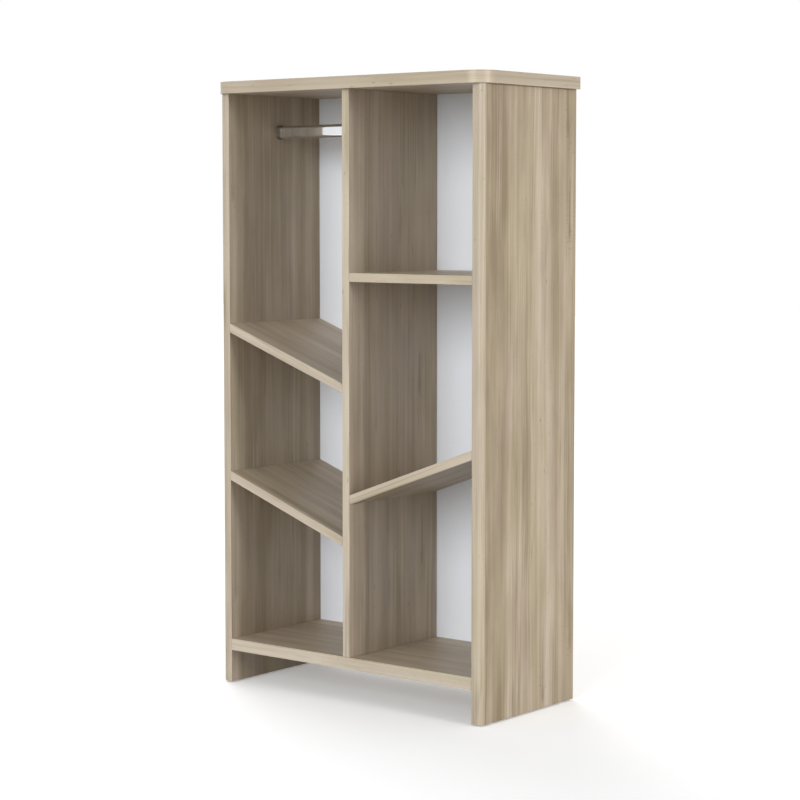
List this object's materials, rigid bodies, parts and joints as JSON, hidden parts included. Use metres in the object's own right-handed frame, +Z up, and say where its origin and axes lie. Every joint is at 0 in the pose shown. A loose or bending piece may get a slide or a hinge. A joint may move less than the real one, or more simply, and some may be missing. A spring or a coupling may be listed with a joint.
{
  "type": "children's bookshelf",
  "caption": "Open children's bookshelf in wood decor board, with tilted and flat shelves, a hanging rail for clothes and a white back.",
  "frame": {"origin": "on the floor under the middle of the outer box", "axes": "+Z up, -Y towards the open front, +X to the right of someone who faces the open front"},
  "size_m": [0.71, 0.33, 1.278],
  "materials": {
    "decor_board": "melamine faced board with a light greyed wood decor, satin",
    "white_hardboard": "white lacquered hardboard, satin",
    "white_plastic": "moulded, matt",
    "beige_plastic": "moulded, matt, in the colour of the decor",
    "chrome_rail": "bright chrome on steel tube and zinc castings",
    "zinc_steel": "zinc plated",
    "beech": "bare turned beech"
  },
  "bodies": {
    "root": {"side_panel_left": "decor_board", "side_panel_right": "decor_board", "top_panel": "decor_board", "bottom_shelf": "decor_board", "centre_divider": "decor_board", "tilted_shelf_left_upper": "decor_board", "tilted_shelf_left_lower": "decor_board", "flat_shelf_right": "decor_board", "tilted_shelf_right": "decor_board", "back_panel_left": "white_hardboard", "back_panel_right": "white_hardboard", "back_panel_joiner": "white_plastic", "hanging_rail": "chrome_rail", "rail_socket_left": "chrome_rail", "rail_socket_right": "chrome_rail", "rail_socket_screw_left": "zinc_steel", "rail_socket_screw_right": "zinc_steel", "tilted_shelf_left_upper_dowel_left_front": "beech", "tilted_shelf_left_upper_dowel_left_back": "beech", "tilted_shelf_left_upper_dowel_right_front": "beech", "tilted_shelf_left_upper_dowel_right_back": "beech", "tilted_shelf_left_lower_dowel_left_front": "beech", "tilted_shelf_left_lower_dowel_left_back": "beech", "tilted_shelf_left_lower_dowel_right_front": "beech", "tilted_shelf_left_lower_dowel_right_back": "beech", "flat_shelf_right_dowel_left_front": "beech", "flat_shelf_right_dowel_left_back": "beech", "flat_shelf_right_dowel_right_front": "beech", "flat_shelf_right_dowel_right_back": "beech", "tilted_shelf_right_dowel_left_front": "beech", "tilted_shelf_right_dowel_left_back": "beech", "tilted_shelf_right_dowel_right_front": "beech", "tilted_shelf_right_dowel_right_back": "beech", "top_dowel_front": "beech", "top_dowel_back": "beech", "cam_left_front": "zinc_steel", "cam_right_front": "zinc_steel", "cam_left_back": "zinc_steel", "cam_right_back": "zinc_steel", "cam_bolt_left_front": "zinc_steel", "cam_bolt_right_front": "zinc_steel", "cam_bolt_left_back": "zinc_steel", "cam_bolt_right_back": "zinc_steel", "top_screw_left_front": "zinc_steel", "top_screw_right_front": "zinc_steel", "top_screw_left_back": "zinc_steel", "top_screw_right_back": "zinc_steel", "divider_screw_front": "zinc_steel", "divider_screw_back": "zinc_steel", "wall_bracket_screw_left": "zinc_steel", "wall_bracket_screw_right": "zinc_steel", "screw_cap_left_front": "beige_plastic", "screw_cap_right_front": "beige_plastic", "screw_cap_left_back": "beige_plastic", "screw_cap_right_back": "beige_plastic", "glide_left_front": "white_plastic", "glide_right_front": "white_plastic", "glide_left_back": "white_plastic", "glide_right_back": "white_plastic", "wall_bracket": "zinc_steel"}
  },
  "joints": []
}
